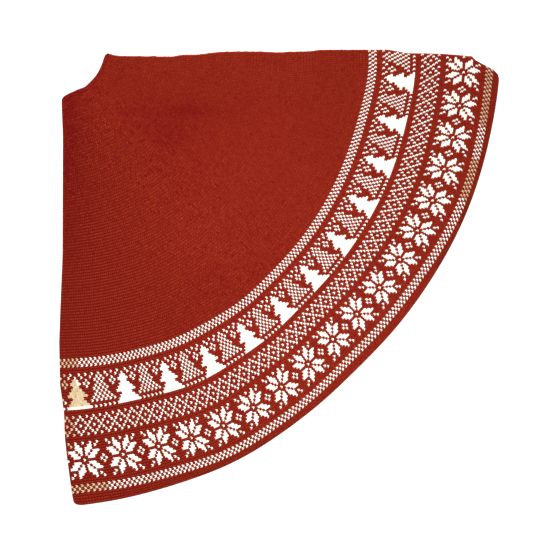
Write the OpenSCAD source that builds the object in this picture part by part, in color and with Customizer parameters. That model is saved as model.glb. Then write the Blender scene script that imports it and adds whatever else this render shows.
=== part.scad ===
// Round knitted tree skirt, zigzag folded into a quarter.
// Four layers of one cloth lie right side up on a flat surface, numbered 1 at the top to 4
// at the bottom. The neck hole is at the upper left corner (-X, +Y) and the hem faces the
// lower right. Layers 1-2 and 3-4 hang together along the left edge, layers 2-3 along the
// upper edge, and the slit's two free edges, on layers 1 and 4, lie on the upper edge.

/* [Cloth] */
// Thickness of one knitted layer
knit_t = 2.8; // [2:0.1:4]
// Air between two folded layers
layer_gap = 0.4; // [0.3:0.1:0.8]

/* [Neck] */
// Radius of the neck hole that goes round the tree's stem
neck_r = 58; // [45:1:75]
// Width of the bound edge round the neck hole
neck_edge_w = 6; // [4:0.5:12]

/* [Zones] */
// Radius of the arc where the plain field meets the patterned border
field_r = 430; // [400:1:440]
// Radius of the arc where the patterned border meets the hem
border_r = 654; // [640:1:657]
// Radius of the hem's outer arc
hem_r = 672; // [668:1:680]

/* [Drawn-in corners] */
// Length of the left fold before it starts to draw in
fold_straight = 480; // [450:5:520]
// How far the left fold draws in at the hem
fold_draw_in = 19; // [12:1:24]
// Length of the upper edge before its corner slopes away
edge_straight = 572; // [550:1:580]
// How far the upper edge's corner drops at the hem
edge_drop = 25; // [15:1:30]

/* [Slit] */
// Width of the bound chain edge along each side of the slit
slit_edge_w = 2.8; // [2:0.1:3]

/* [Closure] */
// Length of one closure pad along the slit
pad_l = 30; // [20:1:40]
// Width of one closure pad
pad_w = 18; // [12:1:25]
// Thickness of one closure pad
pad_t = 1.2; // [0.8:0.1:1.4]
// Distance of the pads from the slit
pad_inset = 5; // [3:0.5:10]

/* [Care label] */
// Length of the label's free part
label_l = 40; // [25:1:60]
// Width of the label
label_w = 28; // [20:1:35]
// Thickness of the label
label_t = 0.5; // [0.3:0.1:1]

/* [Hidden] */

// Centres of the zone arcs, from the neck hole's centre. The outer arcs are flatter than
// circles about the neck would be, so their centres lie up and to the left of it.
field_c = [-7, 6];
border_c = [-51, 37];
hem_c = [-60, 39];

// A fold is a half ring of cloth round the gap between its two layers.
pitch = knit_t + layer_gap;
fold_out_r = knit_t + layer_gap / 2;
fold_in_r = layer_gap / 2;
bend_gap = 0.3;
fold_x = fold_out_r / 2;
fold_y = -fold_out_r / 2;

// Ends of the left fold and of the upper edge, at the hem
corner_left = [fold_x + fold_draw_in, -606];
corner_left_cut = [fold_x + fold_draw_in + 12, -622];
corner_top = [607, fold_y - edge_drop];
beyond_hem = 680;

// Pads and label, along the slit from the neck's centre
field_pads = [90, 200, 310];
border_pads = [470, 560];
label_at = 145;
pocket_clearance = 0.1;

// The bounding box's centre, which becomes the frame's origin
hem_low = hem_c[1] - sqrt(pow(hem_r, 2) - pow(corner_left_cut[0] + 12 - hem_c[0], 2));
hem_right = hem_c[0] + sqrt(pow(hem_r, 2) - pow(corner_top[1] - hem_c[1], 2));
centre = [(hem_right - fold_out_r / 2) / 2, (hem_low + fold_out_r / 2) / 2, 0];

red = [0.60, 0.14, 0.10];
deep_red = [0.50, 0.09, 0.08];
white = [0.95, 0.94, 0.90];

function layer_z(n) = (4 - n) * pitch;
function between_z(n) = layer_z(n) - layer_gap / 2;

module disc(r, c = [0, 0]) {
    translate(c) circle(r = r, $fn = 240);
}

// The flat part of one layer, inside its folds and edges
module quarter_outline() {
    intersection() {
        disc(hem_r, hem_c);
        polygon([
            [fold_x, fold_y], [edge_straight, fold_y], corner_top,
            [beyond_hem, -80], [beyond_hem, -beyond_hem], [corner_left_cut[0] + 12, -beyond_hem],
            corner_left_cut, corner_left, [fold_x, -fold_straight]
        ]);
    }
}

module layer(n) {
    translate([0, 0, layer_z(n)] - centre) linear_extrude(knit_t) children();
}

// Shallow pockets in a layer's underside, where pads or the label sink into the knit
module pockets(n, places, size) {
    for (x = places)
        translate([x - size[0] / 2, fold_y - pad_inset - size[1], layer_z(n) - 1] - centre)
            cube([size[0], size[1], size[2] + 1]);
}

module neck_edge(n) {
    color(red) layer(n) difference() {
        intersection() {
            quarter_outline();
            disc(neck_r + neck_edge_w);
        }
        disc(neck_r);
    }
}

module field(n) {
    color(red) layer(n) difference() {
        intersection() {
            quarter_outline();
            disc(field_r, field_c);
        }
        disc(neck_r + neck_edge_w);
    }
}

module border(n) {
    color(white) layer(n) difference() {
        intersection() {
            quarter_outline();
            disc(border_r, border_c);
        }
        disc(field_r, field_c);
    }
}

module hem(n) {
    color(deep_red) layer(n) difference() {
        quarter_outline();
        disc(border_r, border_c);
    }
}

pad_pocket = [pad_l + 2 * pocket_clearance, pad_w + 2 * pocket_clearance, pad_t];
label_pocket = [label_w + 2 * pocket_clearance, label_l + 2 * pocket_clearance, label_t];

module field_with_pockets(n) {
    color(red) difference() {
        field(n);
        pockets(n, field_pads, pad_pocket);
        if (n == 1) pockets(n, [label_at], label_pocket);
    }
}

module border_with_pockets(n) {
    color(white) difference() {
        border(n);
        pockets(n, border_pads, pad_pocket);
    }
}

// A straight fold, its bend facing -X, running along -Y from its start
module fold_run(length) {
    rotate([90, 0, 0]) linear_extrude(length) difference() {
        circle(r = fold_out_r, $fn = 48);
        circle(r = fold_in_r, $fn = 24);
        translate([0, -2 * fold_out_r]) square(4 * fold_out_r);
    }
}

// The left fold under layer n, which follows the drawn-in corner
module left_fold(n) {
    run = corner_left - [fold_x, -fold_straight];
    color(deep_red) translate([fold_x, 0, between_z(n)] - centre) {
        translate([0, -neck_r, 0]) fold_run(fold_straight - neck_r);
        translate([0, -fold_straight, 0]) rotate([0, 0, atan2(run[0], -run[1])])
            translate([0, -bend_gap, 0]) fold_run(norm(run) - bend_gap);
    }
}

// The upper fold between layers 2 and 3
module upper_fold() {
    color(deep_red) translate([edge_straight, fold_y, between_z(2)] - centre)
        rotate([0, 0, -90]) fold_run(edge_straight - neck_r);
}

// The bound chain edge along one side of the slit
module slit_edge(n) {
    color(deep_red) layer(n) translate([neck_r, fold_y])
        square([edge_straight - neck_r, slit_edge_w]);
}

// One row of closure pads, sunk into a layer's underside
module pads(n, tint) {
    color(tint) for (x = concat(field_pads, border_pads))
        translate([x - pad_l / 2, fold_y - pad_inset - pad_w - pocket_clearance, layer_z(n)] - centre)
            cube([pad_l, pad_w, pad_t - pocket_clearance]);
}

module care_label() {
    color("whitesmoke")
        translate([label_at - label_w / 2, fold_y - pad_inset - label_l - pocket_clearance, layer_z(1)]
            - centre)
            cube([label_w, label_l, label_t - pocket_clearance]);
}

neck_edge(1);  // neck_edge_1
neck_edge(2);  // neck_edge_2
neck_edge(3);  // neck_edge_3
neck_edge(4);  // neck_edge_4
field_with_pockets(1);  // field_1
field(2);  // field_2
field(3);  // field_3
field_with_pockets(4);  // field_4
border_with_pockets(1);  // border_1
border(2);  // border_2
border(3);  // border_3
border_with_pockets(4);  // border_4
hem(1);  // hem_1
hem(2);  // hem_2
hem(3);  // hem_3
hem(4);  // hem_4
left_fold(1);  // fold_1_2
upper_fold();  // fold_2_3
left_fold(3);  // fold_3_4
slit_edge(1);  // slit_edge_1
slit_edge(4);  // slit_edge_4
pads(1, "firebrick");  // closure_hooks
pads(4, "firebrick");  // closure_loops
care_label();
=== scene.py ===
"""Looks of the knitted tree skirt, folded into a quarter. Lengths are in millimetres until a mesh is made."""

import math

import bpy
import numpy as np
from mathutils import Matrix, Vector


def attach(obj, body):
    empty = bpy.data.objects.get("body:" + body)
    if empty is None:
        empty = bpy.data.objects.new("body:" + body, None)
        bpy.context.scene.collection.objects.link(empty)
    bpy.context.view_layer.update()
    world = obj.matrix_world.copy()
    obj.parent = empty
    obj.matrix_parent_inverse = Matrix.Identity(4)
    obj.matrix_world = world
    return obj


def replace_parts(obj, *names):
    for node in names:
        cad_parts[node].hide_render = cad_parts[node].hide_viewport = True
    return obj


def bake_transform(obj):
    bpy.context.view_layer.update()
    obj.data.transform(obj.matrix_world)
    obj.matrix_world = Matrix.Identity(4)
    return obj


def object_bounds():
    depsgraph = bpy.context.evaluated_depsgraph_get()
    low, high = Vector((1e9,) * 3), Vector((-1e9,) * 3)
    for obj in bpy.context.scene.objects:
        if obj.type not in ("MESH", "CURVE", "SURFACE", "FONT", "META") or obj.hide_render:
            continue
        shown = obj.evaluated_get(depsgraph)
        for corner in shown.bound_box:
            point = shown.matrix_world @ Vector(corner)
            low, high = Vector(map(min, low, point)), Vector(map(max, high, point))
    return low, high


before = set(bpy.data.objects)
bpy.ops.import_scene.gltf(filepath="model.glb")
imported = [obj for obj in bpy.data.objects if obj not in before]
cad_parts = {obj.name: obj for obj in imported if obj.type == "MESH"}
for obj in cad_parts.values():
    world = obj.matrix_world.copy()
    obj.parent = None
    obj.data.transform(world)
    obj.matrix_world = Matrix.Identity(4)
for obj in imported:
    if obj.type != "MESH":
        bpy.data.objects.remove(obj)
CAD_LOW, CAD_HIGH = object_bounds()

# ---------------------------------------------------------------- the cloth's plan
MM = 0.001
KNIT_T = 2.8  # one layer of knit
LAYER_GAP = 0.4
LAYER_PITCH = KNIT_T + LAYER_GAP
FOLD_HALF = 1.5  # how far the folds stand past the neck's centre lines in the CAD model
NECK_X = CAD_LOW.x / MM + FOLD_HALF
NECK_Y = CAD_HIGH.y / MM - FOLD_HALF
YARN_H = 0.95  # how far the stitches stand out of the cloth's ground
LIP = 11.0  # length over which a layer rounds over at a fold
FOLD_Z = {(1, 2): 9.4, (2, 3): 6.2, (3, 4): 3.0}
MEET = 0.22  # half the gap between the two layers' edges at a fold

# Arcs of the zones, from the neck outwards: hole, bound edge, field, border, hem.
ARC_X = np.array([0.0, 0.0, -7.0, -51.0, -60.0])
ARC_Y = np.array([0.0, 0.0, 6.0, 37.0, 39.0])
ARC_R = np.array([58.0, 64.0, 430.0, 654.0, 672.0])
NECK_ROWS, FIELD_ROWS, BORDER_ROWS, HEM_ROWS = 2, 89, 46, 4
NECK_COURSES = 36
COURSE = 2.77  # spacing of the courses along a row
OUTER_COURSES = 287  # courses in a quarter at the snowflakes and the hem
ROW = 280  # courses in a row of the border, on average
GORES = 12  # the field's wedges, each of which gains courses outwards
WIDER_LEFT = 0.06  # the courses are a little wider at the left fold than at the slit

# How the hem's corners at the left fold and at the slit are rounded: length along the hem, depth.
CORNER, SLIT_CORNER = (16.0, 7.0), (14.0, 5.5)
# How far the zones' arcs wander outwards from true arcs. Each wave has its middle and its width along u,
# and its height at these places w.
WAVE_W = np.array([1.3, 2.0, 2.25, 2.5, 2.75, 3.0, 4.0])
WAVES = (
    (0.257, 0.085, (0, 2.6, 5.0, 7.8, 8.2, 6.2, 3.4)),
    (0.49, 0.075, (0, -1.0, -0.8, -1.8, -3.0, -4.2, -2.6)),
    (0.78, 0.12, (0, -1.2, 1.2, 3.5, 4.2, 5.4, 2.6)),
    (0.97, 0.06, (0, 3.5, 2.8, 2.6, 1.8, -1.0, 0.0)),
    (0.02, 0.05, (0, -1.0, 0.2, 0.5, -1.0, -3.4, -1.0)),
    (0.40, 0.07, (1.0, 2.4, 2.6, 2.6, 1.9, 0.8, 0.0)),
    (0.63, 0.09, (0, -0.6, 0.2, 0.6, -0.4, -2.2, 0.0)),
    (0.92, 0.07, (0, 1.4, 1.6, 0.5, 1.3, 0.0, 0.0)),
)
# How far the neck hole's edge stands in or out from its arc, along u.
NECK_U = np.array([0, 0.012, 0.03, 0.06, 0.10, 0.16, 0.26, 0.44, 0.64, 0.80, 0.94, 1.0])
NECK_WAVE = np.array([6.5, 3.6, 1.6, 0.0, -1.4, -2.6, -3.4, -2.2, -0.8, 0.2, 2.0, 3.8])
# How the courses slant over the border's rows, in courses, and how the stitches lean towards the slit.
SLANT_W = 2 + np.array([30, 32, 33, 34, 35, 36, 37, 38, 39, 40, 41]) / BORDER_ROWS
SLANT = np.array([0, -0.1, -0.3, -0.35, -0.3, -0.1, 0.05, 0.3, 0.6, 0.85, 0.9]) / OUTER_COURSES
# How the courses crowd and spread along a row, besides the steady change: middle and width along u, and
# courses.
CROWDING = (
    (0.10, 0.07, 0.9 / ROW), (0.13, 0.10, 1.15 / ROW), (0.42, 0.17, -1.45 / ROW), (0.45, 0.19, 0.7 / ROW),
    (0.93, 0.08, -0.6 / ROW),
)

# The left fold's distance to the right of the neck's centre, at these depths below it.
LEFT_DEPTH = np.array([0, 64, 110, 280, 318, 360, 400, 458, 478, 500, 530, 560, 590, 616, 700.0])
LEFT_X = np.array([1.5, 0.9, 2.6, 2.2, 0.6, -1.0, -2.4, -1.4, 1.4, 4.4, 5.2, 8.4, 12.4, 16.0, 31.0])
# The upper edge's height above the neck's centre, at these distances to the right of it.
TOP_X = np.array([40, 58, 62, 76, 110, 152, 170, 190, 208, 224, 276, 298, 322, 342, 358,
                  452, 478, 522, 556, 568, 575, 581, 591, 601, 609, 615.0])
TOP_Y = np.array([-1.6, -1.2, 0.2, -3.2, -3.6, -4.2, -1.6, -1.4, 1.0, 2.6, 2.8, 1.6, 2.6, 3.0, 5.2,
                  5.2, 0.4, -0.2, -2.6, -4.6, -9.2, -12.4, -17.4, -22.6, -27.6, -33.0])


def smooth(x, low=0.0, high=1.0):
    t = np.clip((x - low) / (high - low), 0, 1)
    return t * t * (3 - 2 * t)


def bell(x, middle, width):
    return np.exp(-(((x - middle) / width) ** 2))


def round_over(s):
    """Profile of a rounded edge: 0 at the edge, 1 from s = 1 inwards."""
    s = np.clip(s, 0, 1)
    return np.sqrt(1 - (1 - s) ** 2)


# Patches of painted light and shade on the top layer, in place of the light and shade of its soft waves
# and creases: middle, size both ways, tone.
PAINTED_LIGHT_AND_SHADE = (
    (176, -79, 34, 10, -0.26), (170, -85, 60, 32, -0.16), (148, -118, 22, 20, -0.22),
    (180, -345, 30, 24, -0.08), (95, -130, 90, 120, -0.10), (25, -420, 45, 170, 0.17),
    (300, -30, 60, 30, 0.08), (180, -320, 120, 110, -0.10),
)


def swell(x, y):
    """How far the top layer lifts off the one below: soft waves of a cloth that was folded by hand."""
    a = 1.1 * np.exp(-(((x - 150) / 90) ** 2 + ((y + 110) / 70) ** 2))
    b = 1.5 * np.exp(-(((x - 330) / 150) ** 2 + ((y + 170) / 110) ** 2))
    c = 1.2 * np.exp(-(((x - 110) / 60) ** 2 + ((y + 330) / 120) ** 2))
    d = 0.5 * (1 + np.sin(x / 37 + 1.3) * np.sin(y / 45 + 0.4))
    return (a + b + c + d) * smooth(x, 4, 60)


class Quarter:
    """One layer of the folded cloth. u runs along a row, 0 at the left fold and 1 at the upper edge; w runs
    outwards through the zones, 0 at the neck hole and 4 at the hem."""

    def __init__(self, number, left_inset, top_inset, hem_inset):
        self.number = number
        self.body = f"quarter_{number}"
        self.up = number % 2 == 1  # right side up
        self.low = (4 - number) * LAYER_PITCH
        self.high = self.low + KNIT_T
        self.w = np.linspace(0, 4, 1201)
        knots = np.arange(5)
        self.cx, self.cy, self.r = (np.interp(self.w, knots, v) for v in (ARC_X, ARC_Y, ARC_R))
        self.r = self.r - hem_inset * smooth(self.w, 2, 4)
        left, right = np.full_like(self.w, -1.5), np.zeros_like(self.w)
        for _ in range(12):
            depth = -(self.cy + self.r * np.sin(left))
            x = np.interp(depth, LEFT_DEPTH, LEFT_X) + left_inset
            left = -np.arccos(np.clip((x - self.cx) / self.r, -1, 1))
            across = self.cx + self.r * np.cos(right)
            y = np.interp(across, TOP_X, TOP_Y)
            if number == 4:  # clear of the slit's other edge, which lies beside it when the skirt is open
                y = np.minimum(np.minimum(y, 2.2) - top_inset, 1.2 - y)
            elif top_inset:
                y = np.minimum(y, 2.2) - top_inset
            right = np.arcsin(np.clip((y - self.cy) / self.r, -1, 1))
        kernel = np.hanning(9) / np.hanning(9).sum()
        self.left, self.right = (
            np.convolve(np.pad(v, 4, mode="edge"), kernel, mode="valid") for v in (left, right)
        )
        self.left_z = FOLD_Z[(1, 2) if number < 3 else (3, 4)]
        self.right_z = FOLD_Z[(2, 3)] if number in (2, 3) else None

    def at(self, u, w):
        """Plan position and the distances from the left fold, upper edge, neck hole and hem."""
        cx, cy, r, left, right = (
            np.interp(w, self.w, v) for v in (self.cx, self.cy, self.r, self.left, self.right)
        )
        u = np.clip(u, 0, 1)
        ends = smooth(u, 0, 0.04) * smooth(1 - u, 0, 0.04)
        u = u + WIDER_LEFT * u * (1 - u) + ends * sum(n * bell(u, m, s) for m, s, n in CROWDING)
        behind = 0.6 * (1 - smooth(u, 0.75, 0.95)) + 0.9 * bell(u, 0.6, 0.17)
        behind = behind * np.interp(w, [1.6, 2.0, 2.24, 2.42, 2.5], [0, 1.25, 1.0, 0.15, 0]) / 260
        u = u + ends * (np.interp(w, SLANT_W, SLANT) - behind)
        phi = left + (right - left) * u
        wave = sum(bell(u, m, s) * np.interp(w, WAVE_W, h) for m, s, h in WAVES)
        wave = wave + np.interp(u, NECK_U, NECK_WAVE) * (1 - smooth(w, 0.5, 2))
        corners = CORNER[1] * (1 - round_over(r * (phi - left) / CORNER[0]))
        corners = corners + SLIT_CORNER[1] * (1 - round_over(r * (right - phi) / SLIT_CORNER[0]))
        r = r + wave - smooth(w, 3, 4) * corners
        c, s = np.cos(phi), np.sin(phi)
        x, y = cx + r * c, cy + r * s
        hem = (self.r[-1] - r) + (self.cx[-1] - cx) * c + (self.cy[-1] - cy) * s
        return x, y, r * (phi - left), r * (right - phi), r - self.r[0], hem

    def right_side(self, u, w):
        """The ground of the cloth's right side, which the stitches stand on."""
        x, y, d_left, d_right, d_neck, d_hem = self.at(u, w)
        out = 1 if self.up else -1
        face = (self.high if self.up else self.low) - out * YARN_H
        edge = self.left_z + out * MEET
        z = edge + (face - edge) * round_over(d_left / LIP)
        free = np.minimum(d_neck, d_hem)
        if self.right_z is None:
            free = np.minimum(free, d_right)
        z = z - out * 0.8 * (1 - round_over(free / 2.6))
        return np.stack([x, y, z + self.lift(x, y)], -1)

    def wrong_side(self, u, w):
        x, y, d_left, d_right, d_neck, d_hem = self.at(u, w)
        out = -1 if self.up else 1
        face = self.low if self.up else self.high
        edge = self.left_z - out * (MEET - 0.04)
        z = edge + (face - edge) * smooth(d_left, 0, 3)
        free = np.minimum(d_neck, d_hem)
        if self.right_z is None:
            free = np.minimum(free, d_right)
        else:
            meet = self.right_z + out * MEET
            z = meet + (z - meet) * round_over(d_right / LIP)
        z = z - out * 0.6 * (1 - round_over(free / 2.6))
        return np.stack([x, y, z + self.lift(x, y)], -1)

    def w_at(self, distance):
        """The w whose arc crosses the upper edge at that distance from the neck's centre."""
        across = self.cx + self.r * np.cos(self.right)
        return float(np.interp(distance, across, self.w))

    def lift(self, x, y):
        return swell(x, y) if self.number == 1 else 0.0

    def normals(self, u, w):
        """Outward directions of the right side."""
        length = np.interp(w, self.w, self.r) * 1.5
        du, dw = 0.6 / length, np.full_like(w, 0.002)
        a = self.right_side(np.clip(u + du, 0, 1), w) - self.right_side(np.clip(u - du, 0, 1), w)
        b = self.right_side(u, np.clip(w + dw, 0, 4)) - self.right_side(u, np.clip(w - dw, 0, 4))
        n = np.cross(b, a)
        n /= np.linalg.norm(n, axis=-1, keepdims=True)
        flip = np.sign(n[..., 2:3]) * (1 if self.up else -1)
        return n * np.where(flip == 0, 1, flip)


def to_row(points):
    return (np.asarray(points, float) + [NECK_X, NECK_Y, 0.0]) * MM


def add_mesh(name, points, faces, uv=None, values=None, material=None, smooth_faces=True):
    """A piece from points in millimetres and lists of faces with the same number of corners in each list."""
    me = bpy.data.meshes.new(name)
    corners = np.concatenate([np.asarray(f).ravel() for f in faces]).astype(np.int32)
    totals = np.concatenate([np.full(len(f), np.asarray(f).shape[1]) for f in faces])
    starts = np.concatenate([[0], np.cumsum(totals)[:-1]]).astype(np.int32)
    me.vertices.add(len(points))
    me.vertices.foreach_set("co", to_row(points).astype(np.float32).ravel())
    me.loops.add(len(corners))
    me.loops.foreach_set("vertex_index", corners)
    me.polygons.add(len(totals))
    me.polygons.foreach_set("loop_start", starts)
    me.polygons.foreach_set("use_smooth", np.full(len(totals), smooth_faces))
    me.update(calc_edges=True)
    if uv is not None:
        layer = me.uv_layers.new(name="knit")
        layer.data.foreach_set("uv", np.asarray(uv, np.float32)[corners].ravel())
    for key, v in (values or {}).items():
        a = me.attributes.new(key, "FLOAT", "POINT")
        a.data.foreach_set("value", np.asarray(v, np.float32))
    me.validate()
    o = bpy.data.objects.new(name, me)
    bpy.context.scene.collection.objects.link(o)
    if material is not None:
        me.materials.append(material)
    return o


# ---------------------------------------------------------------- materials
def nodes_of(name):
    m = bpy.data.materials.new(name)
    m.use_nodes = True
    nt = m.node_tree
    return m, nt, nt.nodes["Principled BSDF"]


def node(nt, kind, **inputs):
    n = nt.nodes.new(kind)
    for k, v in inputs.items():
        if hasattr(n, k):
            setattr(n, k, v)
        else:
            n.inputs[k.replace("_", " ")].default_value = v
    return n


def link(nt, a, out, b, into):
    nt.links.new(a.outputs[out], b.inputs[into])


def math_node(nt, op, a, b=None):
    n = nt.nodes.new("ShaderNodeMath")
    n.operation = op
    for i, v in enumerate((a, b)):
        if v is None:
            continue
        if isinstance(v, (int, float)):
            n.inputs[i].default_value = v
        else:
            nt.links.new(v, n.inputs[i])
    return n.outputs[0]


def yarn_material(name, colour, second, fibre=0.35, rough=0.9):
    """Wool-like yarn: two-tone fibres, a tone that changes from stitch to stitch and also carries painted light
    and shade, and a plied twist.
    """
    m, nt, bsdf = nodes_of(name)
    where = node(nt, "ShaderNodeTexCoord")
    noise = node(nt, "ShaderNodeTexNoise", Scale=900.0, Detail=3.0, Roughness=0.65)
    link(nt, where, "Object", noise, "Vector")
    broad = node(nt, "ShaderNodeTexNoise", Scale=9.0, Detail=2.0)
    link(nt, where, "Object", broad, "Vector")
    tone = node(nt, "ShaderNodeAttribute", attribute_name="tone")
    mix = node(nt, "ShaderNodeMix")
    mix.data_type = "RGBA"
    mix.inputs["A"].default_value = (*colour, 1)
    mix.inputs["B"].default_value = (*second, 1)
    shade = math_node(nt, "MULTIPLY", noise.outputs["Fac"], fibre)
    shade = math_node(nt, "ADD", shade, tone.outputs["Fac"])
    shade = math_node(nt, "ADD", shade, math_node(nt, "MULTIPLY", broad.outputs["Fac"], 0.25))
    ramp = node(nt, "ShaderNodeMapRange")
    nt.links.new(shade, ramp.inputs["Value"])
    ramp.inputs["From Min"].default_value = 0.05
    ramp.inputs["From Max"].default_value = 1.0
    link(nt, ramp, "Result", mix, "Factor")
    nt.links.new(mix.outputs[2], bsdf.inputs["Base Color"])
    uv = node(nt, "ShaderNodeUVMap", uv_map="knit")
    split = node(nt, "ShaderNodeSeparateXYZ")
    link(nt, uv, "UV", split, "Vector")
    along = math_node(nt, "MULTIPLY", split.outputs["X"], 15.0)
    across = math_node(nt, "MULTIPLY", split.outputs["Y"], 2.2)
    twist = math_node(nt, "SINE", math_node(nt, "ADD", along, across))
    height = math_node(nt, "ADD", math_node(nt, "MULTIPLY", twist, 0.35), noise.outputs["Fac"])
    bump = node(nt, "ShaderNodeBump")
    bump.inputs["Strength"].default_value = 0.5
    bump.inputs["Distance"].default_value = 0.0003
    nt.links.new(height, bump.inputs["Height"])
    link(nt, bump, "Normal", bsdf, "Normal")
    bsdf.inputs["Roughness"].default_value = rough
    bsdf.inputs["Specular IOR Level"].default_value = 0.03
    bsdf.inputs["Sheen Weight"].default_value = 0.05
    bsdf.inputs["Sheen Roughness"].default_value = 0.5
    bsdf.inputs["Sheen Tint"].default_value = (*second, 1)
    return m


def ground_material(name, colour, second, white):
    """The cloth behind the stitches, with the bumps of purl stitches, which the wrong side shows. Behind the
    pattern, and where it runs over a crease, red and white stitches alternate."""
    m, nt, bsdf = nodes_of(name)
    uv = node(nt, "ShaderNodeUVMap", uv_map="knit")
    split = node(nt, "ShaderNodeSeparateXYZ")
    link(nt, uv, "UV", split, "Vector")
    course = math_node(nt, "MULTIPLY", split.outputs["X"], 2 * math.pi)
    row = math_node(nt, "MULTIPLY", split.outputs["Y"], 2 * math.pi)
    ridge = math_node(nt, "SINE", course)
    arch = math_node(nt, "SINE", math_node(nt, "ADD", row, math_node(nt, "MULTIPLY", ridge, 0.9)))
    bumps = math_node(nt, "MULTIPLY", math_node(nt, "ADD", ridge, arch), 0.25)
    where = node(nt, "ShaderNodeTexCoord")
    noise = node(nt, "ShaderNodeTexNoise", Scale=700.0, Detail=3.0, Roughness=0.6)
    link(nt, where, "Object", noise, "Vector")
    height = math_node(nt, "ADD", bumps, math_node(nt, "MULTIPLY", noise.outputs["Fac"], 0.4))
    tone = node(nt, "ShaderNodeAttribute", attribute_name="tone")
    mix = node(nt, "ShaderNodeMix")
    mix.data_type = "RGBA"
    mix.inputs["A"].default_value = (*colour, 1)
    mix.inputs["B"].default_value = (*second, 1)
    ramp = node(nt, "ShaderNodeMapRange")
    # Painted shade: the colour follows the purl bumps' height, darker in their hollows, and the tone attribute,
    # which carries painted shade.
    nt.links.new(math_node(nt, "ADD", height, tone.outputs["Fac"]), ramp.inputs["Value"])
    ramp.inputs["From Min"].default_value = -0.4
    ramp.inputs["From Max"].default_value = 0.9
    link(nt, ramp, "Result", mix, "Factor")
    pattern = node(nt, "ShaderNodeMix")
    pattern.data_type = "RGBA"
    pattern.inputs["B"].default_value = (*white, 1)
    check = node(nt, "ShaderNodeTexChecker", Scale=1.0)
    link(nt, uv, "UV", check, "Vector")
    share = node(nt, "ShaderNodeAttribute", attribute_name="white")
    factor = math_node(nt, "MULTIPLY", check.outputs["Fac"], share.outputs["Fac"])
    nt.links.new(factor, pattern.inputs["Factor"])
    nt.links.new(mix.outputs[2], pattern.inputs["A"])
    nt.links.new(pattern.outputs[2], bsdf.inputs["Base Color"])
    bump = node(nt, "ShaderNodeBump")
    bump.inputs["Strength"].default_value = 0.8
    bump.inputs["Distance"].default_value = 0.0006
    nt.links.new(height, bump.inputs["Height"])
    link(nt, bump, "Normal", bsdf, "Normal")
    bsdf.inputs["Roughness"].default_value = 0.92
    bsdf.inputs["Specular IOR Level"].default_value = 0.03
    return m


RED, RED_LIGHT = (0.160, 0.0030, 0.0045), (0.34, 0.0420, 0.0120)
# WHITE, the white yarn's darker end, is a warm tan that stands in for shade: the ground under the white
# stitches is painted with it.
WHITE, WHITE_LIGHT = (0.56, 0.40, 0.23), (0.95, 0.93, 0.87)
# The tan is painted shade on the top layer's white stitches, by the left fold and by the slit.
TAN, TAN_LIGHT = (0.38, 0.22, 0.095), (0.62, 0.525, 0.345)
red_yarn = yarn_material("red_yarn", RED, RED_LIGHT)
# The slit's chain yarn is lighter and more orange than the red yarn: painted highlight on its loops.
edge_yarn = yarn_material("edge_yarn", (0.17, 0.010, 0.006), (0.37, 0.062, 0.022))
white_yarn = yarn_material("white_yarn", WHITE, WHITE_LIGHT, fibre=0.25)
painted_shade_yarn = yarn_material("painted_shade_yarn", TAN, TAN_LIGHT, fibre=0.3)
# The ground's red is darker than the yarn's: painted shade between the stitches, which the wrong side and the
# creases show as well.
red_ground = ground_material("red_ground", (0.13, 0.005, 0.004), (0.23, 0.014, 0.007), (0.80, 0.76, 0.70))


# ---------------------------------------------------------------- the stitch chart
# Tree band: for each row, the tree's half width in courses, then the single white stitches by their
# distance from the tree's centre. The repeat is 22 courses, with a checkered tree at 11.
TREE_REPEAT, TREE_AT = 22, 7
TREE_ROWS = (
    (-1, (2, 5, 8, 11)), (0, (3, 7, 10)), (1, (5, 9, 11)), (2, (4, 6, 10)), (1, (5, 9, 11)),
    (2, (8, 10)), (3, (9, 11)), (4, (8, 10)), (2, (7, 9, 11)), (3, (6, 8, 10)), (4, ()), (5, (7, 9, 11)),
)
# Snowflake band: for each distance from the middle row, the white stitches by their distance from the
# flake's centre. The repeat is 16 courses, with a diamond of four stitches at 8.
FLAKE_REPEAT, FLAKE_AT = 16, 7
FLAKE_ROWS = ((0, 7), (2, 3, 4, 8), (1, 3, 4, 5), (1, 2, 4, 5, 6), (1, 2, 3), (2, 3, 5), (3, 6))
LATTICE_REPEAT, LATTICE_AT = 6, 1
# Zones of the border from the field outwards: name, rows, courses in a quarter.
BANDS = (
    ("check", 3, 243), ("plain", 2, 243), ("tree", 12, 264), ("plain", 2, 264), ("lattice", 7, OUTER_COURSES),
    ("plain", 2, OUTER_COURSES), ("flake", 13, OUTER_COURSES), ("plain", 2, OUTER_COURSES),
    ("check", 3, OUTER_COURSES),
)


def in_bands(w, *names):
    """How strong the ground's check is: 0.7 on the border's rows that are in these bands, and 0 elsewhere."""
    rows = np.concatenate([np.full(count, band in names) for band, count, _ in BANDS])
    i = np.floor((w - 2) * BORDER_ROWS + 1e-6).astype(int)
    return 0.7 * ((i >= 0) & (i < BORDER_ROWS) & rows[np.clip(i, 0, BORDER_ROWS - 1)])


def from_centre(g, at, repeat):
    k = np.mod(g - at, repeat)
    return np.minimum(k, repeat - k)


def is_white(band, row, g):
    if band == "check":
        return np.mod(g + row, 2) == 0
    if band == "tree":
        half, dots = TREE_ROWS[row]
        k = from_centre(g, TREE_AT, TREE_REPEAT)
        return (k <= half) | np.isin(k, dots)
    if band == "lattice":
        k = from_centre(g, LATTICE_AT, LATTICE_REPEAT)
        step = 3 - abs(3 - row)
        dot = {0: 3, 3: 0, 6: 3}.get(row, -1)
        return (k == step) | (k == dot)
    if band == "flake":
        k = from_centre(g, FLAKE_AT, FLAKE_REPEAT)
        dots = FLAKE_ROWS[abs(row - 6)] + ((0,) if row == 0 else ())
        return np.isin(k, dots)
    return np.zeros(len(g), bool)


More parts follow.
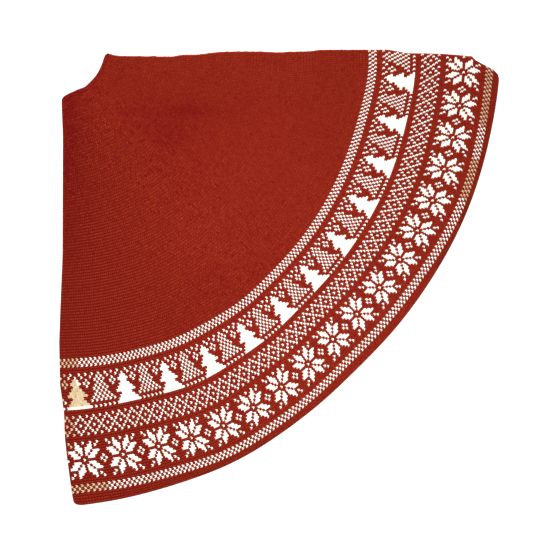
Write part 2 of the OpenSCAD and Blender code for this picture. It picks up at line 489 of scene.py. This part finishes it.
def is_painted_shade(band, outer, row, c, n):
    """Where the top layer's white yarn is painted tan as shade: by the left fold, and in the outer check by the
    slit.
    """
    if band == "check" and not outer:
        return c < 9
    if band == "tree":
        tree = (np.abs(c - TREE_AT) <= TREE_ROWS[row][0]) & (2 <= row <= 10) & ((row > 3) | (c <= TREE_AT))
        return tree | ((c < 4) & (row < 9))
    if band == "lattice":
        return c < 5
    if band == "flake":
        return (c < 4) & (row < 2)
    if band == "check":
        first = c < (15 if row == 1 else 13)
        return first | (c > n - 29) | ((c > n - 64) & (c < n - 44))
    return np.zeros(len(c), bool)


def course_number(q, c, n):
    """The course's number round the whole skirt, counted from quarter 1's left fold."""
    return {1: c, 2: -1 - c, 3: c - 2 * n, 4: -2 * n - 1 - c}[q]


def row_span(first, last, rows, i):
    return first + (last - first) * i / rows, first + (last - first) * (i + 1) / rows


def field_stitches(q):
    """Lowest and highest u and w of each stitch in the field, where the gores gain courses outwards."""
    out = []
    for i in range(FIELD_ROWS):
        w0, w1 = row_span(1, 2, FIELD_ROWS, i)
        wm = (w0 + w1) / 2
        r, left, right = (np.interp(wm, q.w, v) for v in (q.r, q.left, q.right))
        per = max(2, round(r * (right - left) / COURSE / GORES))
        g = np.repeat(np.arange(GORES), per)
        j = np.tile(np.arange(per), GORES)
        u0 = (g + j / per) / GORES
        out.append(np.stack([u0, u0 + 1 / GORES / per, np.full_like(u0, w0), np.full_like(u0, w1)], -1))
    return np.concatenate(out)


def even_row(w0, w1, n):
    u0 = np.arange(n) / n
    return np.stack([u0, u0 + 1 / n, np.full(n, w0), np.full(n, w1)], -1)


def border_stitches(q):
    """Cells and kinds of the border's stitches (0 red, 1 white, 2 white painted tan as shade), and which of its
    four neighbours each one runs on into: back, front, inner, outer."""
    cells, kinds, joins, i = [], [], [], 0
    for number, (band, rows, n) in enumerate(BANDS):
        white = np.zeros((rows + 2, n), bool)
        for row in range(rows):
            white[row + 1] = is_white(band, row, course_number(q.number, np.arange(n), n))
        wide = np.pad(white, ((0, 0), (1, 1)), mode="edge")
        joins.append(np.stack([wide[1:-1, :-2], wide[1:-1, 2:], white[:-2], white[2:]], -1).reshape(-1, 4))
        for row in range(rows):
            w0, w1 = row_span(2, 3, BORDER_ROWS, i)
            c = np.arange(n)
            kind = white[row + 1].astype(int)
            # White stitches of the top layer that lie in painted shade take the tan yarn.
            if q.number == 1:
                kind = np.where((kind == 1) & is_painted_shade(band, number == 8, row, c, n), 2, kind)
            cells.append(even_row(w0, w1, n))
            kinds.append(kind)
            i += 1
    return np.concatenate(cells), np.concatenate(kinds), np.concatenate(joins)


# ---------------------------------------------------------------- stitches
def leg_shape(stations, reach=0.30, long=0.94):
    """One leg of a knitted V: where its points are (along, across, height, and their two UVs), and its faces.
    The V's tip is at +along."""
    points, faces = [], [[], []]
    for t in stations:
        along, across = 0.48 - long * t, 0.04 + reach * t
        if t in (0, 1):
            points.append((along, across, -0.06 if t == 0 else 0.0, t, 0.0))
        else:
            half = 0.55 * reach * math.sin(math.pi * t) ** 0.5
            h = math.sin(math.pi * (0.08 + 0.80 * t)) ** 0.7
            points += [(along, across + s * half, h if s == 0 else -0.06, t, s) for s in (-1, 0, 1)]
    first = list(range(1, len(points) - 1, 3))
    faces[0] += [(0, first[0], first[0] + 1), (0, first[0] + 1, first[0] + 2)]
    end = len(points) - 1
    last = first[-1]
    faces[0] += [(end, last + 1, last), (end, last + 2, last + 1)]
    for a, b in zip(first, first[1:]):
        faces[1] += [(a, b, b + 1, a + 1), (a + 1, b + 1, b + 2, a + 2)]
    return np.array(points), np.array(faces[0]), np.array(faces[1])


FULL_LEG = leg_shape((0, 0.2, 0.5, 0.8, 1))
LIGHT_LEG = leg_shape((0, 0.3, 0.7, 1))
ARROW_LEG = leg_shape((0, 0.2, 0.5, 0.8, 1), 0.38, 1.12)  # white yarn spreads over the red beside it


def knit(q, name, cells, material, seed, shape=FULL_LEG, joins=None, height=YARN_H, light=0.22, uneven=0.13):
    """A piece of V stitches, one in each cell, two legs to a stitch. If it is known which neighbours each one
    runs on into, the yarn is also laid on the ground under it, painted darker as shade between the stitches."""
    rng = np.random.default_rng(seed)
    n = len(cells)
    uc, du = (cells[:, 0] + cells[:, 1]) / 2, cells[:, 1] - cells[:, 0]
    wc, dw = (cells[:, 2] + cells[:, 3]) / 2, cells[:, 3] - cells[:, 2]
    normal = q.normals(uc, wc)
    template, tris, quads = shape
    tip = uc + du * 0.05 * rng.standard_normal(n)
    size = du * (1 + 0.05 * rng.standard_normal(n))
    tall = height * (1 + 0.07 * rng.standard_normal(n))
    from_fold = q.at(uc, wc)[2]
    uneven = uneven * (1 - 0.35 * smooth(uc, 0.35, 0.7))
    tone = light + uneven * rng.standard_normal(n)
    if joins is None:
        # Painted light and shade on the plain stitches: lighter over the part of each row nearer the left fold,
        # darker over the last few centimetres before the fold, and lighter in a thin line right at its edge.
        low = smooth(wc, 1.15, 1.7)
        tone += (0.12 + 0.36 * low) * bell(uc, 0, 0.30) - (0.45 - 0.12 * low) * bell(from_fold, 0, 30)
        tone += 0.6 * bell(from_fold, 0, 1.8)
        # On the top layer, the patches of painted light and shade listed above.
        if q.number == 1:
            x, y = q.at(uc, wc)[:2]
            tone += sum(d * bell(x, cx, sx) * bell(y, cy, sy) for cx, cy, sx, sy, d in PAINTED_LIGHT_AND_SHADE)
    # The red rows part a little towards the left fold and draw together towards the slit.
    narrow = 1.0 if joins is not None else 1.16 - 0.60 * bell(uc, 0, 0.33) * (0.5 + 0.5 * smooth(wc, 1.15, 1.6))
    lean = smooth(uc, 0.5, 0.85) * (0.4 - 0.7 * smooth(wc, 2.85, 2.93))
    points, uvs, tones, f3, f4, count = [], [], [], [], [], 0
    for side in (-1, 1):
        u = tip[:, None] + (template[:, 0] + side * template[:, 1] * lean[:, None]) * size[:, None]
        w = wc[:, None] + side * template[:, 1] * (dw * narrow)[:, None]
        p = q.right_side(u, np.clip(w, 0, 4))
        p = p + (template[:, 2] * tall[:, None])[..., None] * normal[:, None, :]
        k = template.shape[0]
        base = (count + np.arange(n) * k)[:, None, None]
        order = 1 if (side == 1) == q.up else -1
        f3.append((base + tris[None, :, ::order]).reshape(-1, 3))
        f4.append((base + quads[None, :, ::order]).reshape(-1, 4))
        points.append(p.reshape(-1, 3))
        uvs.append(np.tile(template[:, 3:5], (n, 1)))
        tones.append(np.repeat(tone + uneven * rng.standard_normal(n), k))
        count += n * k
    if joins is not None:
        gaps = (0.36, 0.36, 0.40, 0.40)
        back, front, inner, outer = (np.where(joins[:, k], 0.51, gap) for k, gap in enumerate(gaps))
        back, front, span = uc - back * du, uc + front * du, du * 0.18
        low, mid, high = wc - inner * dw, wc, wc + outer * dw
        one, two = span + lean * inner * du, span - lean * outer * du
        u = np.stack([back - one, front - one, back + span, front + span, back - two, front - two], -1)
        w = np.stack([low, low, mid, mid, high, high], -1)
        p = q.right_side(u, w) + 0.10 * normal[:, None, :]
        quad = np.array([[0, 1, 3, 2], [2, 3, 5, 4]])[:, :: (1 if q.up else -1)]
        f4.append((count + np.arange(n)[:, None, None] * 6 + quad).reshape(-1, 4))
        points.append(p.reshape(-1, 3))
        uvs.append(np.zeros((n * 6, 2)))
        # Painted shade: the ground under the stitches is darker than their yarn.
        tones.append(np.repeat(tone - 0.32, 6))
    return add_mesh(
        name, np.concatenate(points), [np.concatenate(f3), np.concatenate(f4)],
        np.concatenate(uvs), {"tone": np.concatenate(tones)}, material,
    )


def slab(q):
    """The cloth's ground: a closed thin sheet with a rounded lip at each fold."""
    near = np.array([0, 0.35, 1.0, 2.0, 3.5, 5.5, 8.0, 11.0])
    edge_w = np.array([0, 0.35, 1.0, 2.0, 3.2]) / 18.0
    w = np.concatenate([
        np.linspace(0, 1, 4)[:-1] ** 1.5, np.linspace(1, 2, 47)[:-1], np.linspace(2, 3, 47)[:-1],
        np.linspace(3, 4 - edge_w[-1], 5)[:-1], (4 - edge_w)[::-1],
    ])
    length = np.interp(w, q.w, q.r * (q.right - q.left))[:, None]
    a = near[None, :] / length
    mid = a[:, -1:] + (1 - 2 * a[:, -1:]) * np.linspace(0, 1, 80)[None, 1:-1]
    u = np.concatenate([a, mid, 1 - a[:, ::-1]], 1)
    ww = np.repeat(w[:, None], u.shape[1], 1)
    rows, cols = u.shape
    p = np.concatenate([q.right_side(u, ww).reshape(-1, 3), q.wrong_side(u, ww).reshape(-1, 3)])
    idx = np.arange(rows * cols).reshape(rows, cols)
    top = np.stack([idx[:-1, :-1], idx[:-1, 1:], idx[1:, 1:], idx[1:, :-1]], -1).reshape(-1, 4)
    low = top[:, ::-1] + rows * cols
    rim = np.concatenate([idx[0, :], idx[1:, -1], idx[-1, -2::-1], idx[-2:0:-1, 0]])
    nxt = np.roll(rim, -1)
    side = np.stack([nxt, rim, rim + rows * cols, nxt + rows * cols], -1)
    faces = np.concatenate([top, low, side])
    if q.up:
        faces = faces[:, ::-1]
    row = np.interp(ww, [0, 1, 2, 3, 4], np.cumsum([0, NECK_ROWS, FIELD_ROWS, BORDER_ROWS, HEM_ROWS]))
    uv = np.stack([u * length / COURSE, row], -1).reshape(-1, 2)
    # Painted shade: the ground of the right side is darker towards the left fold.
    fold = -0.8 * bell(u, 0, 0.25).ravel() * smooth(ww, 0.6, 1.3).ravel()
    back = in_bands(ww.ravel(), "check", "tree", "lattice", "flake")
    values = {
        "tone": np.concatenate([fold, np.zeros_like(fold)]),
        "white": np.concatenate([np.zeros_like(back), back]),
    }
    return add_mesh(f"cloth_{q.number}", p, [faces[:, ::-1]], np.concatenate([uv, uv]), values, red_ground)


QUARTERS = (
    Quarter(1, 0.0, 0.0, 0.0), Quarter(2, 1.6, 2.0, 2.0), Quarter(3, 2.2, 2.0, 3.0), Quarter(4, 2.6, 2.2, 2.5),
)


# Closure pads along the slit: the middle of each by its distance from the neck's centre. The hook pads are
# on the wrong side of layer 1, the loop pads on the right side of layer 4, a little further from its edge.
PAD_X, PAD_L, PAD_W = (90, 200, 310, 470, 550), 30.0, 18.0
PAD_TOP = {1: -8.6, 4: -12.0}


def clear_of_pads(q, cells):
    """The stitches that no loop pad is sewn over."""
    if q.number != 4:
        return np.ones(len(cells), bool)
    x, y = q.at((cells[:, 0] + cells[:, 1]) / 2, (cells[:, 2] + cells[:, 3]) / 2)[:2]
    under = np.zeros(len(cells), bool)
    for px in PAD_X:
        under |= (abs(x - px) < PAD_L / 2 - 0.5) & (abs(y - PAD_TOP[4] + PAD_W / 2) < PAD_W / 2 - 0.5)
    return ~under


def build_quarter(q):
    n = q.number
    shape = FULL_LEG if n == 1 else LIGHT_LEG
    cloth = slab(q)
    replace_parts(cloth, f"field_{n}", f"border_{n}", f"hem_{n}")
    pieces = []
    cells = field_stitches(q)
    cells = cells[clear_of_pads(q, cells)]
    half = cells[:, 2] < 1.68
    if n == 1:
        pieces.append((knit(q, "field_inner_1", cells[half], red_yarn, 11, shape), "field_knit"))
        pieces.append((knit(q, "field_outer_1", cells[~half], red_yarn, 12, shape), "field_knit"))
    else:
        pieces.append((knit(q, f"field_stitches_{n}", cells, red_yarn, 10 + n, shape), "field_knit"))
    cells, kinds, joins = border_stitches(q)
    clear = clear_of_pads(q, cells)
    cells, kinds, joins = cells[clear], kinds[clear], joins[clear]
    pieces.append((knit(q, f"border_red_{n}", cells[kinds == 0], red_yarn, 20 + n, shape), "border_knit"))
    for kind, name, yarn, light in ((1, "white", white_yarn, 0.68), (2, "tan", painted_shade_yarn, 0.58)):
        some = kinds == kind
        if some.any():
            leg = ARROW_LEG if n == 1 else shape
            seed = 20 + 10 * kind + n
            o = knit(q, f"border_{name}_{n}", cells[some], yarn, seed, leg, joins[some], light=light)
            pieces.append((o, "border_knit"))
    cells = np.concatenate([even_row(*row_span(3, 3.97, HEM_ROWS, i), OUTER_COURSES) for i in range(HEM_ROWS)])
    pieces.append((knit(q, f"hem_stitches_{n}", cells, red_yarn, 50 + n, shape, light=0.34), "hem_knit"))
    cells = np.concatenate([even_row(*row_span(0.06, 1, NECK_ROWS, i), NECK_COURSES) for i in range(NECK_ROWS)])
    neck = knit(q, f"neck_binding_{n}", cells, red_yarn, 60 + n, FULL_LEG, height=YARN_H * 1.1)
    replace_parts(neck, f"neck_edge_{n}")
    pieces.append((neck, "edge_yarn"))
    for o, slot in pieces:
        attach(o, q.body)
    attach(cloth, q.body)


for q in QUARTERS:
    build_quarter(q)


# ---------------------------------------------------------------- the slit's edges
def chain_edge(q):
    """The bound chain along one side of the slit: a row of overlapping yarn loops."""
    first, last = q.w_at(60.0), q.w_at(573.0)
    n = 177
    w = np.linspace(first, last, n + 1)
    rng = np.random.default_rng(70 + q.number)
    around = np.linspace(0, 2 * np.pi, 8, endpoint=False)
    stations = np.array([0, 0.12, 0.35, 0.65, 0.88, 1])
    points, faces, uvs, count = [], [], [], 0
    tones = []
    x, y = q.at(np.ones(n + 1), w)[:2]
    z0 = q.right_side(np.full(n + 1, 1.0), w)[:, 2] - (0.1 if q.up else -0.1)
    for i in range(n):
        a, b = np.array([x[i], y[i], z0[i]]), np.array([x[i + 1], y[i + 1], z0[i + 1]])
        step = b - a
        a, b = a - step * 0.22, b + step * 0.22
        along = step / np.linalg.norm(step)
        side = np.cross([0, 0, 1.0], along)
        fat = 1.15 * (1 + 0.08 * rng.standard_normal()) + 0.9 * bell(i, n - 3, 1.6)  # the end is knotted off
        shift = side * (-0.55 + 0.12 * rng.standard_normal())
        for t in stations:
            radius = fat * (0.25 + 0.75 * math.sin(math.pi * (0.06 + 0.88 * t)) ** 0.6)
            centre = a + (b - a) * t + shift
            ring = centre + radius * (np.cos(around)[:, None] * side + np.sin(around)[:, None] * [0, 0, 1.0])
            points.append(ring)
            uvs.append(np.stack([np.full(8, t), around / np.pi], -1))
        k = np.arange(8)
        for j in range(len(stations) - 1):
            s0, s1 = count + j * 8, count + (j + 1) * 8
            faces.append(np.stack([s0 + k, s0 + (k + 1) % 8, s1 + (k + 1) % 8, s1 + k], -1))
        # A lighter tone: painted highlight on the loops.
        tones.append(np.full(8 * len(stations), 0.34 + 0.2 * rng.standard_normal()))
        count += 8 * len(stations)
    caps = np.array([[c + j for j in range(8)] for c in range(0, count, 8 * len(stations))])
    ends = caps[:, ::-1] + 8 * (len(stations) - 1)
    o = add_mesh(
        f"slit_chain_{q.number}", np.concatenate(points), [np.concatenate(faces), caps[:, ::-1], ends[:, ::-1]],
        np.concatenate(uvs), {"tone": np.concatenate(tones)}, edge_yarn,
    )
    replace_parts(o, f"slit_edge_{q.number}")
    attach(o, q.body)


chain_edge(QUARTERS[0])
chain_edge(QUARTERS[3])


# ---------------------------------------------------------------- closure and label
def tape_material(name, colour, second, weave, rough, sheen=0.0):
    """Woven tape or satin: fine threads both ways."""
    m, nt, bsdf = nodes_of(name)
    where = node(nt, "ShaderNodeTexCoord")
    split = node(nt, "ShaderNodeSeparateXYZ")
    link(nt, where, "Object", split, "Vector")
    across = math_node(nt, "SINE", math_node(nt, "MULTIPLY", split.outputs["X"], weave))
    along = math_node(nt, "SINE", math_node(nt, "MULTIPLY", split.outputs["Y"], weave))
    threads = math_node(nt, "MULTIPLY", across, along)
    noise = node(nt, "ShaderNodeTexNoise", Scale=500.0, Detail=2.0)
    link(nt, where, "Object", noise, "Vector")
    # The colour follows the threads' height: painted shade in the hollows of the weave.
    fac = math_node(nt, "ADD", math_node(nt, "MULTIPLY", threads, 0.3), noise.outputs["Fac"])
    mix = node(nt, "ShaderNodeMix")
    mix.data_type = "RGBA"
    mix.inputs["A"].default_value = (*colour, 1)
    mix.inputs["B"].default_value = (*second, 1)
    nt.links.new(fac, mix.inputs["Factor"])
    nt.links.new(mix.outputs[2], bsdf.inputs["Base Color"])
    bump = node(nt, "ShaderNodeBump")
    bump.inputs["Strength"].default_value = 0.4
    bump.inputs["Distance"].default_value = 0.0001
    nt.links.new(fac, bump.inputs["Height"])
    link(nt, bump, "Normal", bsdf, "Normal")
    bsdf.inputs["Roughness"].default_value = rough
    bsdf.inputs["Specular IOR Level"].default_value = 0.08
    bsdf.inputs["Sheen Weight"].default_value = sheen
    return m


def plate(x0, x1, y0, y1, z, out, corner, steps, wave=0.0):
    """A thin sewn-on plate with rounded corners: a ring of quads for each step, and a fan that closes its face
    and its back. z gives the cloth's surface at a place, out is the direction of the visible face."""
    around = np.linspace(0, 2 * np.pi, 64, endpoint=False)
    cx, cy, hx, hy = (x0 + x1) / 2, (y0 + y1) / 2, (x1 - x0) / 2, (y1 - y0) / 2
    cos, sin = np.cos(around), np.sin(around)
    k = 1 / np.maximum(np.abs(cos) / (hx - corner), np.abs(sin) / (hy - corner))
    inner = np.stack([cos * k, sin * k], -1)
    away = inner - np.clip(inner, [-(hx - corner), -(hy - corner)], [hx - corner, hy - corner])
    longer = np.maximum(np.abs(cos), np.abs(sin))[:, None]
    rim = inner + np.stack([cos, sin], -1) / longer * corner * 0.85 + away
    rings = []
    for scale, height in steps:
        ring = rim * scale
        x, y = cx + ring[:, 0], cy + ring[:, 1]
        depth = height + wave * np.sin(y / 6.0) * (scale < 1.01)
        rings.append(np.stack([x, y, z(x, y) + out * depth], -1))
    n, m = len(around), len(rings)
    points = np.concatenate(rings)
    i = np.arange(n)
    k = (i + 1) % n
    quads = [np.stack([i + n * j, k + n * j, k + n * (j + 1), i + n * (j + 1)], -1) for j in range(m - 1)]
    middle = np.array([[cx, cy, z(np.array([cx]), np.array([cy]))[0] + out * steps[-1][1]]])
    back = np.array([[cx, cy, z(np.array([cx]), np.array([cy]))[0] + out * steps[0][1]]])
    tris = np.concatenate([
        np.stack([i + n * (m - 1), (i + 1) % n + n * (m - 1), np.full(n, n * m)], -1),
        np.stack([(i + 1) % n, i, np.full(n, n * m + 1)], -1),
    ])
    quads = np.concatenate(quads)
    if out < 0:
        tris, quads = tris[:, ::-1], quads[:, ::-1]
    return np.concatenate([points, middle, back]), tris, quads


def rods(starts, ends, fat, sides=4):
    """Short threads: a bar with pointed ends between each start and end."""
    step = ends - starts
    along = step / np.linalg.norm(step, axis=1, keepdims=True)
    helper = np.where(np.abs(along[:, 2:3]) > 0.8, [1.0, 0, 0], [0, 0, 1.0])
    a = np.cross(along, helper)
    a /= np.linalg.norm(a, axis=1, keepdims=True)
    b = np.cross(along, a)
    turn = np.arange(sides) * 2 * np.pi / sides
    ring = (np.cos(turn)[None, :, None] * a[:, None] + np.sin(turn)[None, :, None] * b[:, None]) * fat
    low, high = (starts + step * 0.2)[:, None] + ring, (starts + step * 0.8)[:, None] + ring
    points = np.concatenate([starts[:, None], low, high, ends[:, None]], 1)
    k = 2 * sides + 2
    i = np.arange(sides)
    j = (i + 1) % sides
    tri = np.concatenate([
        np.stack([np.zeros(sides, int), 1 + j, 1 + i], -1),
        np.stack([np.full(sides, k - 1), 1 + sides + i, 1 + sides + j], -1),
    ])
    quad = np.stack([1 + i, 1 + j, 1 + sides + j, 1 + sides + i], -1)
    base = (np.arange(len(starts)) * k)[:, None, None]
    return points.reshape(-1, 3), (base + tri).reshape(-1, 3), (base + quad).reshape(-1, 4)


def joined(parts):
    points, tris, quads, count = [], [], [], 0
    for p, t, f in parts:
        points.append(p)
        tris.append(t + count)
        quads.append(f + count)
        count += len(p)
    return np.concatenate(points), [np.concatenate(tris), np.concatenate(quads)]


def seam(x0, x1, y0, y1, z, out, height, pitch=3.0):
    """Starts and ends of the stitches that sew a rectangle's edge down."""
    sides = []
    for ax, ay, bx, by in ((x0, y0, x1, y0), (x1, y0, x1, y1), (x1, y1, x0, y1), (x0, y1, x0, y0)):
        n = max(1, round(math.hypot(bx - ax, by - ay) / pitch))
        t = np.arange(n)
        a = np.stack([ax + (bx - ax) * (t + 0.12) / n, ay + (by - ay) * (t + 0.12) / n], -1)
        b = np.stack([ax + (bx - ax) * (t + 0.88) / n, ay + (by - ay) * (t + 0.88) / n], -1)
        sides.append((a, b))
    a, b = (np.concatenate([side[k] for side in sides]) for k in (0, 1))
    a, b = (np.column_stack([p, z(p[:, 0], p[:, 1]) + out * height]) for p in (a, b))
    return rods(a, b, 0.16)


def closure(q, name, material):
    """One row of closure pads: a tape with rounded corners, sewn down all round, with hooks or loops on it."""
    hooks = q.number == 1
    rng = np.random.default_rng(80 + q.number)
    if hooks:
        z, out = (lambda x, y: q.low + q.lift(x, y)), -1
        steps = ((1.0, -0.7), (1.0, 0.02), (0.985, 0.10), (0.95, 0.12), (0.4, 0.12))
    else:
        z, out = (lambda x, y: np.full_like(x, q.low + YARN_H)), -1
        steps = ((1.0, -0.5), (1.0, 0.55), (0.985, 0.68), (0.95, 0.72), (0.4, 0.72))
    face = steps[-1][1]
    parts = []
    for px in PAD_X:
        x0, x1, y1 = px - PAD_L / 2, px + PAD_L / 2, PAD_TOP[q.number]
        y0 = y1 - PAD_W
        parts.append(plate(x0, x1, y0, y1, z, out, 2.0, steps))
        parts.append(seam(x0 + 1.3, x1 - 1.3, y0 + 1.3, y1 - 1.3, z, out, face + 0.02))
        gx, gy = np.meshgrid(np.arange(x0 + 2.9, x1 - 2.6, 1.1), np.arange(y0 + 2.9, y1 - 2.6, 1.1))
        x, y = (g.ravel() + 0.16 * rng.standard_normal(g.size) for g in (gx, gy))
        base = np.column_stack([x, y, z(x, y) + out * (face - 0.05)])
        if hooks:  # each hook leans over
            aside = 0.1 * rng.standard_normal(len(x))
            bend = np.column_stack([np.full(len(x), 0.35), aside, np.full(len(x), out * 0.24)])
            parts.append(rods(base, base + bend, 0.14))
        else:  # loops lie over each other every way
            turn = rng.uniform(0, np.pi, len(x))
            reach = 0.9 * np.column_stack([np.cos(turn), np.sin(turn), np.zeros_like(turn)])
            middle = base + [0, 0, out * 0.14]
            parts.append(rods(middle - reach, middle + reach, 0.11))
    p, faces = joined(parts)
    o = add_mesh(name, p, faces, None, None, material)
    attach(o, q.body)
    return o


hook_tape = tape_material("hook_tape", (0.15, 0.010, 0.006), (0.30, 0.030, 0.018), 9000.0, 0.5)
loop_tape = tape_material("loop_tape", (0.17, 0.008, 0.006), (0.32, 0.028, 0.014), 6000.0, 0.85, 0.05)
satin = tape_material("satin", (0.80, 0.78, 0.73), (0.90, 0.88, 0.84), 12000.0, 0.35, 0.1)
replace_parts(closure(QUARTERS[0], "hook_pads", hook_tape), "closure_hooks")
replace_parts(closure(QUARTERS[3], "loop_pads", loop_tape), "closure_loops")


def label(q):
    """The blank care label: a soft satin strip, sewn on by its edge near the slit."""
    x0, x1, y0, y1 = 131.0, 159.0, -48.0, -9.0

    def z(x, y):
        return q.low + q.lift(x, y)

    steps = ((1.0, -0.3), (1.0, 0.04), (0.99, 0.10), (0.8, 0.14), (0.4, 0.14))
    parts = [plate(x0, x1, y0, y1, z, -1, 0.8, steps, wave=0.05)]
    n = 11
    x = x0 + 1.2 + (x1 - x0 - 2.4) * np.arange(n) / n
    for y in (y1 - 1.6, y1 - 2.6):
        a = np.column_stack([x + 0.3, np.full(n, y), z(x, np.full(n, y)) - 0.20])
        parts.append(rods(a, a + [1.7, 0, 0], 0.12))
    p, faces = joined(parts)
    o = add_mesh("blank_label", p, faces, None, None, satin)
    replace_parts(o, "care_label")
    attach(o, q.body)


label(QUARTERS[0])


# ---------------------------------------------------------------- folds
def fold_web(name, a, b, side):
    """The strip of cloth at a crease. Its points lie at the two layers' edges."""
    in_field, in_hem = 60, 10  # points of the strip before the border and after it
    rows = np.linspace(2, 3, BORDER_ROWS + 1)
    knots = np.stack([rows[:-1] + 0.001, (rows[:-1] + rows[1:]) / 2, rows[1:] - 0.001], -1).ravel()
    # At the upper edge the strip stops short of the hem's corner.
    last = 3.4 if side else 4.0
    w = np.concatenate([np.linspace(0.9, 1.999, in_field), knots, np.linspace(3.001, last, in_hem)])
    u = np.full_like(w, float(side))
    z = FOLD_Z[(a.number, b.number)]
    xa, ya = a.at(u, w)[:2]
    xb, yb = b.at(u, w)[:2]
    # Each row of the border spans a whole number of courses, as wide as the crease opens there.
    half = (xa - xa[:in_field].min()) if side == 0 else (ya[:in_field].max() - ya)
    across = np.maximum(1, np.round(2 * half / COURSE))
    across[in_field:-in_hem] = np.repeat(across[in_field + 1 : -in_hem : 3], 3)
    down = (w - 1) * 90
    down[in_field:-in_hem] = 100 + np.arange(BORDER_ROWS * 3) // 3 + np.tile([0.01, 0.5, 0.99], BORDER_ROWS)
    right, wrong = in_bands(w, "check", "tree", "lattice"), in_bands(w, "check", "tree", "lattice", "flake")
    outer, inner = (right, wrong) if side == 0 else (wrong, right)
    inward = np.array([0.8, 0.0]) if side == 0 else np.array([0.0, -0.8])
    rings = [
        np.stack([xa, ya, np.full_like(w, z + MEET)], -1),
        np.stack([xb, yb, np.full_like(w, z - MEET)], -1),
        np.stack([xb + inward[0], yb + inward[1], np.full_like(w, z - MEET * 0.8)], -1),
        np.stack([xa + inward[0], ya + inward[1], np.full_like(w, z + MEET * 0.8)], -1),
    ]
    n = len(w)
    p = np.concatenate(rings)
    i = np.arange(n - 1)
    pairs = ((0, n), (n, 2 * n), (2 * n, 3 * n), (3 * n, 0))
    faces = [np.stack([i + one, i + 1 + one, i + 1 + two, i + two], -1) for one, two in pairs]
    caps = np.array([[0, n, 2 * n, 3 * n], [4 * n - 1, 3 * n - 1, 2 * n - 1, n - 1]])
    faces = np.concatenate(faces + [caps])
    if side == 1:
        faces = faces[:, ::-1]
    none = np.zeros_like(across)
    uv = np.stack([np.concatenate([none, across, across, none]), np.tile(down, 4)], -1)
    values = {"white": np.concatenate([outer, outer, inner, inner])}
    o = add_mesh(name, p, [faces], uv, values, red_ground, smooth_faces=False)
    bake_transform(o)
    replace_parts(o, name)
    return o


fold_web("fold_1_2", QUARTERS[0], QUARTERS[1], 0).name = "crease_1_2"
fold_web("fold_2_3", QUARTERS[1], QUARTERS[2], 1).name = "crease_2_3"
fold_web("fold_3_4", QUARTERS[2], QUARTERS[3], 0).name = "crease_3_4"

# ---------------------------------------------------------------- floor, light, camera
floor_material, nt, bsdf = nodes_of("floor")
bsdf.inputs["Base Color"].default_value = (0.30, 0.30, 0.30, 1)
bsdf.inputs["Emission Color"].default_value = (1, 1, 1, 1)
bsdf.inputs["Emission Strength"].default_value = 1.0
bsdf.inputs["Roughness"].default_value = 0.9
bsdf.inputs["Specular IOR Level"].default_value = 0.0
FLOOR_HALF, FLOOR_Z = 12, -0.0006
me = bpy.data.meshes.new("floor")
floor_corners = ((-1, -1), (1, -1), (1, 1), (-1, 1))
me.from_pydata([(FLOOR_HALF * x, FLOOR_HALF * y, FLOOR_Z) for x, y in floor_corners], [], [(0, 1, 2, 3)])
me.materials.append(floor_material)
floor = bpy.data.objects.new("floor", me)
bpy.context.scene.collection.objects.link(floor)

scene = bpy.context.scene
world = bpy.data.worlds.new("studio")
scene.world = world
world.use_nodes = True
world.node_tree.nodes["Background"].inputs["Color"].default_value = (1, 1, 1, 1)
world.node_tree.nodes["Background"].inputs["Strength"].default_value = 1.2


def spot_light(name, place, aim, radius, softness, power):
    """A soft spot whose light fades out at this radius round the point it is aimed at."""
    direction = Vector(aim) - Vector(place)
    data = bpy.data.lights.new(name, "SPOT")
    data.energy = power
    data.shadow_soft_size = softness
    data.spot_size = 2 * math.atan(radius / direction.length)
    data.spot_blend = 1.0
    o = bpy.data.objects.new(name, data)
    o.location = place
    o.rotation_euler = direction.to_track_quat("-Z", "Y").to_euler()
    scene.collection.objects.link(o)


spot_light("key", (-0.1, 2.2, 2.4), (-0.09, -0.17, 0.0), 0.72, 0.35, 410)

cam_data = bpy.data.cameras.new("camera")
cam_data.lens = 85
cam_data.sensor_width = 36
cam = bpy.data.objects.new("camera", cam_data)
view_width = 0.7382
centre_x = (CAD_LOW.x + CAD_HIGH.x) / 2 - 0.0183
centre_y = (CAD_LOW.y + CAD_HIGH.y) / 2 + 0.0175
cam.location = (centre_x, centre_y, 0.0124 + view_width * cam_data.lens / cam_data.sensor_width)
scene.collection.objects.link(cam)
scene.camera = cam
scene.view_settings.view_transform = "Standard"
